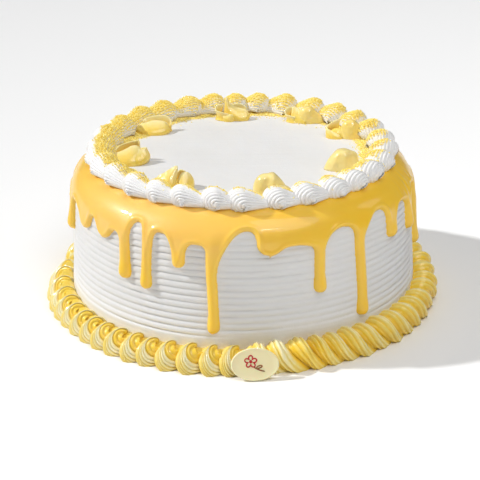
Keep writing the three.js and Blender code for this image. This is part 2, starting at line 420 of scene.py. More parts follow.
def grid_faces(rows, columns, close=True, close_rows=False):
    """Quads of a grid of points stored row by row; close joins the last column to the first."""
    i = np.arange(rows if close_rows else rows - 1)
    j = np.arange(columns if close else columns - 1)
    i, j = np.meshgrid(i, j, indexing="ij")
    down, over = (i + 1) % rows, (j + 1) % columns
    quads = [i * columns + j, i * columns + over, down * columns + over, down * columns + j]
    return np.stack(quads, -1).reshape(-1, 4)


def finish_piece(piece, slot, *nodes):
    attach(piece, "root")
    if nodes:
        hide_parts(*nodes)


def smooth_step(value, low, high):
    t = np.clip((value - low) / (high - low), 0, 1)
    return t * t * (3 - 2 * t)


def bell(value, centre, spread):
    return np.exp(-(((value - centre) / spread) ** 2))


def waves(angle, height, count, finest, size, seed):
    """Smooth random relief round the cake, from sine waves that close on themselves."""
    draw = np.random.default_rng(seed)
    total = 0
    for _ in range(count):
        turns = draw.integers(1, finest)
        total = total + np.sin(turns * angle + draw.uniform(-1, 1) * height * finest / ARC
                               + draw.uniform(0, 2 * math.pi))
    return total * size / math.sqrt(count)


# Outline of the iced body

def make_outline():
    """Points (run, radius, height, normal) from the foot up the side, over the rim, to the middle."""
    side = np.linspace(0, RIM_HEIGHT, 160)
    turn = np.radians(np.linspace(0, 90, 90))[1:]
    top = np.linspace(RIM_RADIUS, 0, 40)[1:]
    radius = np.concatenate([FOOT_RADIUS - SIDE_TAPER * side, RIM_RADIUS + RIM_ACROSS * np.cos(turn), top])
    height = np.concatenate([side, RIM_HEIGHT + RIM_DOWN * np.sin(turn), np.full(len(top), TOP_HEIGHT)])
    run = np.concatenate([[0], np.cumsum(np.hypot(np.diff(radius), np.diff(height)))])
    out = np.concatenate([np.full(len(side), 1.0), np.cos(turn) / RIM_ACROSS, np.zeros(len(top))])
    up = np.concatenate([np.full(len(side), SIDE_TAPER), np.sin(turn) / RIM_DOWN, np.ones(len(top))])
    size = np.hypot(out, up)
    return run, radius, height, out / size, up / size


OUTLINE = make_outline()


def on_skin(run, out):
    """Radius and height of the outline's point at a run, moved out along its normal."""
    radius, height, across, up = (np.interp(run, OUTLINE[0], values) for values in OUTLINE[1:])
    return radius + across * out, height + up * out


def run_at(height):
    """How far up the outline a height on the side or rim is."""
    rising = len(OUTLINE[2]) - 39
    return np.interp(height, OUTLINE[2][:rising], OUTLINE[0][:rising])


TOP_RUN = run_at(TOP_HEIGHT - 0.001)
END_RUN = OUTLINE[0][-1]


def wrap(radius, angle, height):
    return np.stack([radius * np.cos(angle), radius * np.sin(angle), height + 0 * angle], -1)


def comb(height, angle):
    """Depth of the comb's ridges and narrow grooves at a height."""
    wobble = 0.16 * np.sin(3 * angle + 1) + 0.12 * np.sin(7 * angle + 0.06 * height)
    phase = (height - COMB_FROM + wobble) / COMB_PITCH
    groove = np.abs(2 * (phase % 1) - 1) ** 3.2
    index = np.floor(phase)
    uneven = 1 + 0.18 * np.sin(index * 2.4 + 5 * angle) + 0.12 * np.sin(index * 4.1 - 11 * angle)
    low = COMB_FROM + 8 * bell(np.degrees(angle - 5.0), 0, 28)
    fade = smooth_step(height, low - 1, low + 3) * smooth_step(-height, -92, -86)
    right = (np.degrees(angle) + 199) % 360 - 180
    strength = 1 - 0.35 * bell(np.degrees(angle - 5.25), 0, 28) + 0.7 * bell(right, 0, 17)
    return -COMB_DEPTH * groove * uneven * fade * strength


def add_body():
    columns = 440
    steps = np.arange(2.0, run_at(90.0), COMB_PITCH / 7)
    rim = np.linspace(run_at(90.0), TOP_RUN, 14)
    top = np.linspace(TOP_RUN, END_RUN, 34)[1:-1]
    runs = np.concatenate([[0.05], steps, rim[1:], top, [END_RUN - 0.3]])
    angle = np.linspace(0, 2 * math.pi, columns, endpoint=False)
    run, turn = np.meshgrid(runs, angle, indexing="ij")
    level = on_skin(run, 0)[1]
    covered = smooth_step(glaze_field(turn, run)[0], -2.2, -0.4)
    radius = on_skin(run, 0)[0]
    swell = waves(turn, run, 9, 9, 0.1, 3) * smooth_step(run, 6, 20) * smooth_step(radius, 4, 60)
    relief = comb(level, turn) * (1 - 0.85 * covered) + swell
    x, y = radius * np.cos(turn), radius * np.sin(turn)
    smear = 0.10 * np.sin(0.09 * x + 0.05 * y + 1.5 * np.sin(0.03 * y)) + 0.06 * np.sin(0.21 * y - 0.05 * x)
    relief = relief - (0.16 - smear * smooth_step(radius, 3, 24)) * smooth_step(run, TOP_RUN - 6, TOP_RUN + 4)
    radius, height = on_skin(run, relief)
    points = wrap(radius, turn, height).reshape(-1, 3)
    faces = grid_faces(len(runs), columns)
    ends = []
    for row, level in ((0, 0.0), (len(runs) - 1, TOP_HEIGHT - 0.16)):
        middle = len(points)
        points = np.vstack([points, [[0, 0, level]]])
        ring = row * columns + np.arange(columns)
        after = np.roll(ring, -1)
        hub = np.full(columns, middle)
        ends.append(np.stack([hub, after, ring] if row == 0 else [hub, ring, after], 1))
    piece = add_fans("body_icing", points, faces, ends, icing_material())
    flat_run = np.append(run.ravel(), [0, END_RUN])
    flat_turn = np.append(turn.ravel(), [0, 0])
    on_top = flat_run > TOP_RUN + 1
    add_flow(piece, np.where(on_top, points[:, 0], flat_turn * ARC), np.where(on_top, points[:, 1], flat_run))
    # Painted bounce light near the foot, strongest at the bottom and gone 34 mm up.
    warm = 0.65 * smooth_step(-flat_run, -34, -12) * (flat_run > 0)
    add_values(piece, "foot", warm)
    finish_piece(piece, "white_icing", "cake_body")
    return piece


def add_fans(name, points, quads, fans, material):
    """A mesh of quads closed by triangle fans."""
    mesh = bpy.data.meshes.new(name)
    triangles = np.concatenate(fans)
    corners = np.concatenate([quads.ravel(), triangles.ravel()]).astype(np.int32)
    starts = np.concatenate([np.arange(len(quads)) * 4, len(quads) * 4 + np.arange(len(triangles)) * 3])
    mesh.vertices.add(len(points))
    mesh.vertices.foreach_set("co", (points * MM).astype(np.float32).ravel())
    mesh.loops.add(len(corners))
    mesh.loops.foreach_set("vertex_index", corners)
    mesh.polygons.add(len(starts))
    mesh.polygons.foreach_set("loop_start", starts.astype(np.int32))
    mesh.update(calc_edges=True)
    mesh.validate()
    mesh.polygons.foreach_set("use_smooth", np.full(len(mesh.polygons), True))
    piece = bpy.data.objects.new(name, mesh)
    bpy.context.collection.objects.link(piece)
    mesh.materials.append(material)
    return piece


# Glaze: where each drip hangs, the height of its tip, its width, and the height
# of the arch to the next one, with the arch's place across and its fall each way

DRIPS = [
    (-169.3, 55, 9.2, 80, 0.35, 6, 9), (-152.5, 69, 13, 80, 0.45, 8, 6), (-140.6, 71, 11, 77.5, 0.6, 6, 4),
    (-130.6, 48, 9.2, 87, 0.55, 17, 9), (-121.5, 45, 8, 84, 0.4, 7, 12), (-110.5, 63, 8.2, 79.5, 0.5, 5, 4),
    (-99.7, 21, 7.8, 88, 0.62, 32, 9), (-81.8, 73.8, 12, 77.5, 0.5, 3, 5), (-65.2, 44, 8.4, 83.5, 0.55, 12, 8),
    (-49.9, 20.5, 8.6, 85.5, 0.6, 16, 9), (-33.5, 63.5, 10, 82, 0.5, 6, 6), (-18.8, 58.5, 9.2, 84, 0.5, 6, 6),
    (-5, 36, 8.2, 82, 0.5, 6, 6), (10, 66, 9.2, 86, 0.5, 6, 6), (24, 50, 8.4, 80, 0.5, 6, 6),
    (39, 71, 10, 84, 0.5, 6, 6), (53, 30, 8, 87, 0.5, 7, 7), (70, 61, 8.8, 81, 0.5, 6, 6),
    (84, 42, 8.4, 85, 0.5, 6, 6), (101, 68, 10, 83, 0.5, 6, 6), (116, 25, 8, 88, 0.5, 7, 7),
    (132, 57, 8.8, 80, 0.5, 5, 5), (146, 70, 10, 83, 0.5, 5, 5), (160, 39, 8.2, 86, 0.5, 6, 6),
    (176, 64, 9.2, 80, 0.5, 5, 5),
]


def glaze_edge(degrees):
    """Run of the glaze's edge between the drips at each angle."""
    edge = np.zeros_like(degrees)
    for i, (at, _, _, arch, peak, left, right) in enumerate(DRIPS):
        after = DRIPS[(i + 1) % len(DRIPS)][0]
        span = (after - at) % 360
        t = ((degrees - at) % 360) / span
        inside = t < 1
        fall = np.where(t < peak, left * np.clip(1 - t / peak, 0, 1) ** 2.1,
                        right * np.clip((t - peak) / (1 - peak), 0, 1) ** 2.1)
        edge = np.where(inside, run_at(arch) - fall, edge)
    return edge


def glaze_field(angle, run):
    """How deep each point lies inside the glaze's outline, and how much it belongs to a drip."""
    degrees = np.degrees(angle)
    edge = glaze_edge(degrees)
    slope = np.gradient(edge[0]) / np.gradient(degrees[0] * math.pi / 180 * ARC)
    inside = (run - edge) / np.sqrt(1 + np.clip(slope, -2, 2) ** 2)
    belongs = np.zeros_like(run)
    half = np.full_like(run, 4.0)
    tips = np.full_like(run, 200.0)
    for at, tip, width, arch, *_ in DRIPS:
        away = ((degrees - at + 180) % 360 - 180) * math.pi / 180 * ARC
        near = np.abs(away) < 24
        if not near.any():
            continue
        run_tip = run_at(tip)
        centre = run_tip + width / 2
        long = min(max((run_at(arch) - run_tip - 12) / 25, 0), 1)
        sway = 0.7 * long * np.sin((run - run_tip) / 13 + at)
        neck = 1 - 0.17 * long * smooth_step(run, centre + 1, centre + 9)
        wide = 1 + 0.25 * smooth_step(run, run_at(arch) - 14, run_at(arch) + 2)
        radius = width / 2 * neck * wide
        below = np.maximum(centre - run, 0)
        drip = radius - np.hypot(away - sway, below)
        blend = 3.5 + 2.5 * (1 - long)
        mix = np.clip(0.5 + 0.5 * (drip - inside) / blend, 0, 1)
        joined = inside * (1 - mix) + drip * mix + blend * mix * (1 - mix)
        inside = np.where(near, joined, inside)
        share = np.where(near, bell(away, 0, width * 0.62) * smooth_step(-run, -run_at(arch) - 2, -run_at(arch) + 14), 0)
        belongs = np.maximum(belongs, share)
        closer = share >= belongs
        half = np.where(closer & near, width / 2, half)
        tips = np.where(closer & near, run - centre, tips)
    return inside, belongs, half, tips


def glaze_height(angle, run):
    """Thickness of the glaze over the body's skin, below zero outside its outline."""
    inside, belongs, half, tips = glaze_field(angle, run)
    cell = 0.5 * ARC * (angle[0, 1] - angle[0, 0])
    slope_u = np.gradient(inside, ARC * angle[0], axis=1)
    slope_v = np.gradient(inside, run[:, 0], axis=0)
    steep = np.maximum(slope_u ** 2 + slope_v ** 2, 0.3)
    near = np.abs(inside) < cell
    angle = angle - np.where(near, inside * slope_u / steep, 0) / ARC
    run = run - np.where(near, inside * slope_v / steep, 0)
    inside = np.where(near, 0, inside)
    bead = 2.6 * (1 - belongs) + half * 0.98 * belongs
    x = np.clip(inside / bead, 0, 1)
    round_edge = np.sqrt(1 - (1 - x) ** 2)
    wavy = bell((np.degrees(angle) + 195) % 360 - 180, 0, 8) * smooth_step(-run, -100, -84)
    sheet = 2.1 + waves(angle, run, 10, 14, 0.22, 11) + 0.28 * wavy * (
        np.sin(84 * angle + 0.07 * run) + 0.8 * np.sin(131 * angle - 0.2 * run + 1))
    lip = 0.75 * bell(inside, 1.9, 1.2)
    drop = 1.0 * bell(tips, 0.5, 5.5) * belongs
    thick = (sheet + lip) * (1 - belongs) + (3.6 + drop) * belongs
    thick = np.where(inside >= 0, 0.6 + round_edge * (thick - 0.5), -1.7)
    return thick, inside, angle, run


def add_glaze():
    columns = 900
    low = run_at(16)
    brim = np.interp(89.6, OUTLINE[1][::-1], OUTLINE[0][::-1])
    runs = np.concatenate([np.arange(low, run_at(92), 0.8), np.arange(run_at(92), brim, 1.6)])
    angle = np.linspace(0, 2 * math.pi, columns, endpoint=False)
    run, turn = np.meshgrid(runs, angle, indexing="ij")
    thick, inside, turn, run = glaze_height(turn, run)
    thick = thick * (1 - 0.6 * smooth_step(run, brim - 6, brim))
    radius, height = on_skin(run, thick)
    over = wrap(radius, turn, height).reshape(-1, 3)
    radius, height = on_skin(run, np.full_like(run, -1.9))
    under = wrap(radius, turn, height).reshape(-1, 3)
    quads = grid_faces(len(runs), columns)
    keep = (inside.ravel()[quads] >= 0).any(1)
    quads = quads[keep]
    used = np.unique(quads)
    number = np.full(len(over), -1)
    number[used] = np.arange(len(used))
    quads = number[quads]
    edges = np.concatenate([quads[:, [k, (k + 1) % 4]] for k in range(4)])
    forward = set(map(tuple, edges.tolist()))
    border = np.array([(a, b) for a, b in forward if (b, a) not in forward])
    count = len(used)
    wall = np.stack([border[:, 1], border[:, 0], border[:, 0] + count, border[:, 1] + count], 1)
    faces = np.concatenate([quads, quads[:, ::-1] + count, wall])
    piece = add_mesh("mango_glaze", np.concatenate([over[used], under[used]]), faces, glaze_material())
    rim = 0.6 * bell(inside.ravel()[used], 1.0, 1.4)
    add_values(piece, "edge", np.concatenate([rim, rim]))
    # Painted sheen: where the glaze is made paler, to the front and left, up the side and over the rim.
    painted_sheen = bell((np.degrees(turn) + 128 + 180) % 360 - 180, 0, 46) * smooth_step(run, run_at(55), run_at(86))
    painted_sheen = painted_sheen.ravel()[used]
    add_values(piece, "painted_sheen", np.concatenate([painted_sheen, painted_sheen]))
    finish_piece(piece, "mango_glaze", "drip_glaze")
    return piece


# Piped shells on top

SHELL_HEADS = [
    -173.5, -161.1, -148.8, -136, -124, -113, -101, -90.5, -78, -66.5, -54, -43.5, -33, -19, -7,
    6, 19, 31.5, 44, 57, 69.4, 82, 92, 101.5, 113.1, 125.2, 137.6, 150.9, 163.7, 175.5,
]
SHELL_RADIUS = 95.2
HUB_HEIGHT = 101.6


def teeth(phase):
    """Rounded teeth with narrow grooves, 0 in a groove and 1 on a tooth."""
    return 1 - np.abs(2 * (phase % 1) - 1) ** 2.1


def shell_stations():
    """Centre along and up, direction of the crest, reach, half width and depth below, station by station."""
    turns = [430, 408, 387, 367, 348, 330, 313, 297, 281, 266, 251, 236, 221, 206, 191, 176, 161, 146, 131,
             116, 102, 90, 80]
    reach = np.interp(turns, [80, 100, 130, 180, 225, 270, 300, 360, 430], [9.3, 9.4, 9.3, 8.8, 8.2, 7.2, 6.2, 3.9, 1.0])
    width = np.interp(turns, [80, 110, 150, 180, 225, 270, 330, 430], [10.7, 10.8, 10.3, 9.8, 9.0, 8.4, 8.8, 8.8])
    deep = np.interp(turns, [80, 130, 180, 225, 430], [5.6, 5.8, 6.2, 4.5, 0.8])
    rows = [(0, 0, 436, 0.03, 8.6, 0.03)] + [(0, 0, *values) for values in zip(turns, reach, width, deep)]
    for t in np.linspace(0, 1, 10)[1:]:
        rows.append((17.5 * t, -2.6 * t ** 1.5, 80 - 6 * t, 9.3 - 6.2 * t ** 0.95, 10.7 - 7.0 * t ** 0.95, 5.6 - 2.2 * t))
    rows.append((17.9, -2.7, 74, 0.03, 0.03, 0.03))
    return np.array(rows)


def add_shells():
    stations = shell_stations()
    first, ridges, pitch = -62, 21, 12.8
    around = first + ((np.arange(ridges)[:, None] + np.array([0, 0.15, 0.5, 0.85])) * pitch).ravel()
    points, faces, total = [], [], 0
    draw = np.random.default_rng(21)
    for k, head in enumerate(SHELL_HEADS):
        at = math.radians(head + draw.uniform(-0.4, 0.4))
        room = ((SHELL_HEADS[(k + 1) % len(SHELL_HEADS)] - head) % 360) / 12
        grow = (1 + draw.uniform(-0.03, 0.03)) * (0.85 + 0.15 * room)
        along, lift, turn, reach, wide, deep = stations.T[:, :, None]
        lean = draw.uniform(-9, 9)
        turn = np.radians(turn + lean * smooth_step(turn, 60, 120))
        phi = np.radians(around)[None, :]
        phi = phi + math.radians(draw.uniform(-4, 4))
        tooth = teeth((around[None, :] - first) / pitch)
        far = bell((head - 105 + 180) % 360 - 180, 0, 85)
        mild = bell((head + 25 + 180) % 360 - 180, 0, 48)
        cut = (0.14 - 0.075 * far - 0.06 * mild) * smooth_step(reach, 1.5, 5) * np.where(along > 3, np.where(phi < 0, 0.3, 0.5), 1)
        size = 1 - cut * (1 - tooth)
        up = np.where(np.sin(phi) > 0, reach, deep) * np.sin(phi) * size * grow
        lateral = wide * np.cos(phi) * size * min(grow, 1.01)
        s = along * room + np.cos(turn) * up
        z = HUB_HEIGHT + draw.uniform(-0.3, 0.3) + lift + np.sin(turn) * up
        tilt = math.radians(-5 + draw.uniform(-6, 6))
        s = s + (0.34 + draw.uniform(-0.1, 0.1)) * np.maximum(lateral, 0)
        r = SHELL_RADIUS + lateral * math.cos(tilt) + (z - HUB_HEIGHT) * math.sin(tilt) * 0.3
        z = z - lateral * math.sin(tilt)
        block = wrap(r, at + s / SHELL_RADIUS, z)
        rows, columns = block.shape[:2]
        points.append(block.reshape(-1, 3))
        faces.append(grid_faces(rows, columns) + total)
        total += rows * columns
        knob, knob_faces, _ = mound((0, 0, 0), (2.4, 2.6, 2.4), -1.5, 8, 14)
        lateral = 7.4 + knob[:, 1]
        s = knob[:, 0] + 0.34 * lateral
        z = HUB_HEIGHT + knob[:, 2] - lateral * math.sin(tilt)
        points.append(wrap(SHELL_RADIUS + lateral * math.cos(tilt), at + s / SHELL_RADIUS, z))
        faces.append(knob_faces + total)
        total += len(knob)
    points = np.concatenate(points)
    piece = add_mesh("piped_shells", points, np.concatenate(faces), shell_material())
    finish_piece(piece, "white_shells", "top_border")
    return piece


# Piped rope round the foot. The turns' places seen in front, the hidden ones evenly between

ROPE_SEEN = [
    -187, -180.5, -172.8, -165.2, -158.5, -152.6, -146.2, -140.6, -135.2, -129.4, -123.2, -117.8, -111.8,
    -105.3, -98.8, -92.8, -86.3, -79.8, -73, -67.6, -62.2, -57.2, -51.4, -45, -39, -33.2, -27, -20.4,
    -13.4, -6, 1.4, 9, 15.6,
]
ROPE_HIDDEN = 26
ROPE_RADIUS = 122.6
ROPE_HEIGHT = 8.4
ROPE_RIDGES = [90, 72.5, 58, 49.5, 41, 29, 19, 8, -5, -20, -38, -58, -80]
STRANDS_FROM, STRANDS_TO = 15.2, 58.2
STRAND_SHIFT = ([-180, -60, -50, -40, -30, -10, 10, 30, 60, 90, 180], [1.5, 1.35, 1.12, 0.86, 0.66, 0.42, 0.26, 0.14, 0.03, 0, -0.04])
STRAND_CREASE = ([-180, -60, -40, -10, 20, 60, 100, 180], [2.0, 2.5, 4.0, 6.0, 6.4, 5.6, 4.6, 3.6])
STRAND_REACH = ([-180, -120, -90, -60, -40, -20, 0, 25, 50, 75, 90, 110, 135, 180],
                [8, 10, 11, 14, 13.6, 12.4, 11.8, 11.4, 10.8, 9.9, 9.3, 8.8, 8.6, 8])


def between(values, step):
    """Values at whole steps joined by straight lines, closed on themselves."""
    return np.interp(step, np.arange(len(values) + 1), np.append(values, values[0]))


def rope_profile():
    """From a turn's core over its face to its back: share of the reach, groove, height, and colour
    of the icing, more than 0.5 for deep yellow, pushed deeper in the grooves as painted shade."""
    phase = np.concatenate([[0.52, 0.7, 0.85]]
                           + [k + np.array([0, 0.18, 0.5, 0.82]) for k in range(1, len(ROPE_RIDGES) - 1)])
    slope = np.interp(phase, np.concatenate([[0.5], np.arange(1, len(ROPE_RIDGES))]), ROPE_RIDGES)
    tooth = 1 - np.abs(2 * (phase % 1) - 1) ** 2.1
    a = np.radians(slope)
    depth = np.interp(slope, [-80, -20, 0, 20, 30, 41, 46, 53, 58, 72, 90],
                      [1.6, 1.2, 0.8, 1.2, 1.5, 1.9, 1.6, 1.6, 2.1, 1.5, 1.5])
    groove = np.interp(slope, [-40, 0, 25, 58], [1.5, 1.5, 0.9, 0.4])
    tone = np.interp(slope, [-80, -20, -5, 8, 19, 29, 41, 44, 56, 58.5, 70, 90],
                     [0.9, 0.85, 0.45, 0.4, 0.4, 0.3, 0.15, -0.1, -0.1, 0.85, 0.9, 1.0])
    core = 1.3 * np.clip(1 - (np.cos(a) / 0.33) ** 2, 0, 1)
    relief = depth * (1 - tooth) * np.sign(a) * np.abs(np.sin(a)) ** 0.5
    height = np.where(a > 0, 6.6, 5.6) * np.sin(a) + core - relief - 1.6
    # Painted shade: the grooves between ridges are pushed towards deep yellow.
    tone = tone + 0.3 * (1 - tooth) * (tone < 0.84)
    return np.cos(a), groove * (1 - tooth) * np.cos(a), height, tone


def outward(points, faces):
    return faces[:, ::-1] if volume(points, faces) < 0 else faces


def rope_places(draw):
    """Places of all the turns, with one more before the first and one after the last."""
    gap = (ROPE_SEEN[0] + 360 - ROPE_SEEN[-1]) / (ROPE_HIDDEN + 1)
    places = np.array(ROPE_SEEN + [ROPE_SEEN[-1] + gap * (k + 1) for k in range(ROPE_HIDDEN)])
    places[len(ROPE_SEEN):] += draw.uniform(-0.5, 0.5, ROPE_HIDDEN)
    return np.concatenate([[places[-1] - 360], places, [places[0] + 360]])


def rope_turns(places, draw):
    """The left of the rope, where each turn shows its face: tilted discs on a helix."""
    first, last = -1.0, 16.4
    per_turn = 28
    count = len(places) - 2
    step = np.arange(first * per_turn, last * per_turn) / per_turn
    number = np.arange(-1, count + 1)
    room = np.interp(step, number, np.gradient(places)) / 6.0
    swell = between(draw.uniform(-0.05, 0.04, count), step) + 0.3 * (room - 1)
    nod = between(draw.uniform(-0.10, 0.10, count), step)
    beta = np.pi / 2 - 2 * np.pi * step
    within = step % 1
    moved = np.floor(step) + 0.15 * within + 0.85 * smooth_step(within, 0.48, 0.95)
    angle = np.radians(np.interp(moved, number, places))
    side = np.degrees(np.arctan2(np.sin(angle), np.cos(angle)))
    ahead = wrap(1 + 0 * beta, angle + math.pi / 2, 0 * beta)
    out = wrap(1 + 0 * beta, angle, 0 * beta)
    up = np.array([0, 0, 1.0])
    normal = 0.62 * ahead + (0.52 + nod)[:, None] * out + (0.58 - nod)[:, None] * up
    normal /= np.linalg.norm(normal, axis=1, keepdims=True)
    upward = up - normal[:, 2:] * normal
    upward /= np.linalg.norm(upward, axis=1, keepdims=True)
    outward_way = np.cross(normal, upward)
    front = bell((side + 120 + 180) % 360 - 180, 0, 60)
    axis = wrap(ROPE_RADIUS + 1.0 * front, angle, ROPE_HEIGHT + 0 * beta)
    spoke = outward_way * np.cos(beta)[:, None] + upward * np.sin(beta)[:, None]
    turned = np.degrees(np.arctan2(np.sin(beta), np.cos(beta)))
    share, groove, height, tone = rope_profile()
    wide = np.interp(turned, [-180, -155, -130, -110, -90, -70, -56, -43, -24, 0, 29, 60, 90, 135, 180],
                     [7.5, 8.5, 11.0, 13.0, 13.8, 14.8, 15.6, 15.8, 14.6, 12.2, 9.0, 7.6, 7.4, 7.4, 7.5])
    middle = np.clip(6.5 / wide, 0.30, 0.90)[:, None]
    outer = np.clip((share - 0.53) / 0.47, 0, 1) ** 0.85
    grown = np.where(share < 0.53, share / 0.53 * middle, middle + outer * (1 - middle))
    ends = smooth_step(step, first, first + 0.3) * smooth_step(-step, -step[-1], -step[-1] + 0.3)
    grow = ((1 + swell) * ends)[:, None, None]
    reach = (wide[:, None] * grown)[:, :, None] * grow
    points = axis[:, None, :] + reach * spoke[:, None, :] + height[None, :, None] * grow * normal[:, None, :]
    radius = np.hypot(points[..., 0], points[..., 1])
    limit = np.interp(side, [-180, -120, -60, -25, 180], [134.2, 135, 135.4, 134, 134.2])[:, None]
    squeeze = np.where(radius > limit, limit + 3.0 * np.tanh((radius - limit) / 3.0), radius) / radius
    points[..., :2] *= squeeze[..., None]
    points = points - (groove * ends[:, None])[:, :, None] * spoke[:, None, :]
    points[..., 2] = np.maximum(points[..., 2], 0.03)
    rows, columns = points.shape[:2]
    return points.reshape(-1, 3), grid_faces(rows, columns), (tone + 0 * radius).ravel()


def rope_strands(places, draw):
    """The right and the back of the rope, seen from its side: slanting strands with ridges along them."""
    count = len(places) - 2
    seen = np.arange(STRANDS_FROM, 34, 1 / 32)
    step = np.concatenate([seen, np.arange(34, STRANDS_TO, 1 / 20)])[:, None]
    degrees = np.concatenate([np.arange(-180, -60, 20), np.arange(-60, 120, 4), np.arange(120, 180, 15)])[None, :]
    beta = np.radians(degrees)
    angle = np.radians(np.interp(step, np.arange(-1, count + 1), places))
    side = (np.degrees(angle) + 180) % 360 - 180
    shift = np.interp(degrees, *STRAND_SHIFT) - np.interp(20, *STRAND_SHIFT)
    strand = step - shift + 0.5 + np.interp(step, np.arange(count + 2), draw.uniform(-0.2, 0.2, count + 2))
    index = np.floor(strand).astype(int) % count
    across = strand % 1
    swell = draw.uniform(-0.09, 0.09, count)[index]
    slant = draw.uniform(-0.06, 0.06, count)[index]
    crest = np.sin(math.pi * across ** 1.2) ** 0.7
    ridge = 1 - np.abs(2 * ((4 * across ** 0.8 + 4 * slant * np.sin(beta)) % 1) - 1) ** 2.4
    soft = np.interp(across, [0, 0.5, 0.9], [1, 0.9, 0.5])
    depth = soft * np.interp(degrees, [-60, -15], [1.1, 2.3])
    ends = smooth_step(step, STRANDS_FROM, STRANDS_FROM + 0.7) * smooth_step(-step, -step.max(), -step.max() + 0.7)
    reach = np.interp(degrees, *STRAND_REACH) * (1 + swell * crest)
    crease = np.interp(degrees, *STRAND_CREASE)
    reach = (reach + 0.6 - crease * (1 - crest) - depth * (1 - ridge) * crest) * (0.05 + 0.95 * ends ** 0.5)
    points = wrap(ROPE_RADIUS + reach * np.cos(beta), angle + 0 * beta, ROPE_HEIGHT + reach * np.sin(beta))
    points[..., 2] = np.maximum(points[..., 2], 0.03)
    # Cream to deep yellow across each strand is the icing's own; the 0.75 added in the grooves, most near the creases,
    # is painted shade.
    tone = np.interp(across, [0, 0.12, 0.3, 0.55, 0.72, 0.88, 1], [1.1, 0.8, 0.58, 0.32, 0.14, 0.28, 1.1]) + 0.75 * soft * (1 - ridge)
    tone = tone - 0.15 * bell(degrees - 75, 0, 35) + 0.15 * smooth_step(-degrees, 0, 40) - 0.3 * bell(side, -80, 3) + 0.2 * bell(side, 10, 25)
    tone = tone + 0.3 * bell(side, -71, 4.5)
    rows, columns = tone.shape
    return points.reshape(-1, 3), grid_faces(rows, columns), tone.ravel()


def rope_core():
    """A bead inside the turns, so that no gap between them looks empty."""
    ring = np.linspace(0, 2 * math.pi, 360, endpoint=False)[:, None]
    over = np.linspace(0, 2 * math.pi, 12, endpoint=False)[None, :]
    far = bell(np.degrees(ring) - 178, 0, 38)
    points = wrap(ROPE_RADIUS - 2.2 + 1.7 * far + (5.4 + 0.45 * far) * np.cos(over), ring + 0 * over,
                  6.4 + 2.7 * far + (5.2 + 0.7 * far) * np.sin(over))
    return points.reshape(-1, 3), grid_faces(360, 12, close_rows=True), np.full(360 * 12, 0.8)


def add_rope():
    draw = np.random.default_rng(5)
    places = rope_places(draw)
    points, faces, tones, total = [], [], [], 0
    for part_points, part_faces, part_tones in (
            rope_turns(places, draw), rope_strands(places, draw), rope_core()):
        points.append(part_points)
        faces.append(outward(part_points, part_faces) + total)
        tones.append(part_tones)
        total += len(part_points)
    piece = add_mesh("rope_border", np.concatenate(points), np.concatenate(faces), rope_material())
    add_values(piece, "tone", np.concatenate(tones))
    finish_piece(piece, "rope_icing", "bottom_border")
    return piece


# Folded dollops. In each, x points to the right, y away from the camera and z up

def curve(points, places):
    """A smooth path through a few points, at places from 0 to 1."""
    points = np.asarray(points, dtype=float)
    t = places * (len(points) - 1)
    padded = np.vstack([2 * points[0] - points[1], points, 2 * points[-1] - points[-2]])
    i = np.minimum(t.astype(int), len(points) - 2)
    f = (t - i)[:, None]
    p0, p1, p2, p3 = (padded[i + k] for k in range(4))
    return 0.5 * (2 * p1 + (p2 - p0) * f + (2 * p0 - 5 * p1 + 4 * p2 - p3) * f ** 2
                  + (3 * p1 - p0 - 3 * p2 + p3) * f ** 3)


def fold(base, lip, bulge=2.5, thick=1.5, lump=0.0):
    """A thick sheet of cream from a line on the ground to a lip, bulging towards the camera."""
    columns, rows = 48, 16
    u = 0.5 - 0.5 * np.cos(np.linspace(0, math.pi, columns))
    v = np.linspace(0, 1, rows)[:, None, None]
    foot = curve([(x, y, -0.3) for x, y in base], u)
    top = curve(lip, u)
    travel = np.gradient(foot, axis=0) + 0.4 * np.gradient(top, axis=0)
    out = np.stack([travel[:, 1], -travel[:, 0]], -1)
    out /= np.linalg.norm(out, axis=1, keepdims=True) + 1e-9
    out = np.concatenate([out, np.zeros((columns, 1))], 1)
    swell = bulge * (1 + lump * np.sin(3 * math.pi * u + 0.4))[:, None] * (1 - (2 * u - 1) ** 8)[:, None]
    middle = foot + (top - foot) * v + out * swell * np.sin(math.pi * v ** 0.8)
    across = np.gradient(middle, axis=1)
    upward = np.gradient(middle, axis=0)
    normal = np.cross(across, upward)
    normal /= np.linalg.norm(normal, axis=2, keepdims=True) + 1e-9
    upward /= np.linalg.norm(upward, axis=2, keepdims=True) + 1e-9
    half = thick / 2 * np.sqrt(1 - (2 * u - 1) ** 10)[:, None] * (1.25 - 0.6 * v)
    grain = 1 + 0.04 * np.sin(2 * math.pi * (5.5 * u + 0.8 * v[..., 0]))[..., None]
    front, back = middle + normal * half * grain, middle - normal * half
    cap = [middle[-1] + half[-1] * (normal[-1] * math.cos(a) + upward[-1] * math.sin(a))
           for a in np.linspace(0, math.pi, 6)[1:-1]]
    ring = np.concatenate([front, np.array(cap), back[::-1]])
    thin = np.concatenate([v[:, 0, 0], np.ones(4), v[::-1, 0, 0]])[:, None] + np.zeros(columns)
    count = len(ring)
    faces = grid_faces(count, columns, close=False, close_rows=True)
    return ring.reshape(-1, 3), faces, thin.ravel() ** 3


def mound(centre, radii, low=-0.35, rows=14, columns=28):
    """A low rounded heap that fills a dollop's middle."""
    a = np.linspace(low, math.pi / 2 - 0.02, rows)[:, None]
    b = np.linspace(0, 2 * math.pi, columns, endpoint=False)[None, :]
    p = np.stack([np.cos(a) * np.cos(b), np.cos(a) * np.sin(b), np.sin(a) + 0 * b], -1)
    p = p * radii + np.asarray(centre)
    if low > -1:
        p[..., 2] = np.maximum(p[..., 2], -0.2)
    return p.reshape(-1, 3), grid_faces(rows, columns), np.zeros(rows * columns)


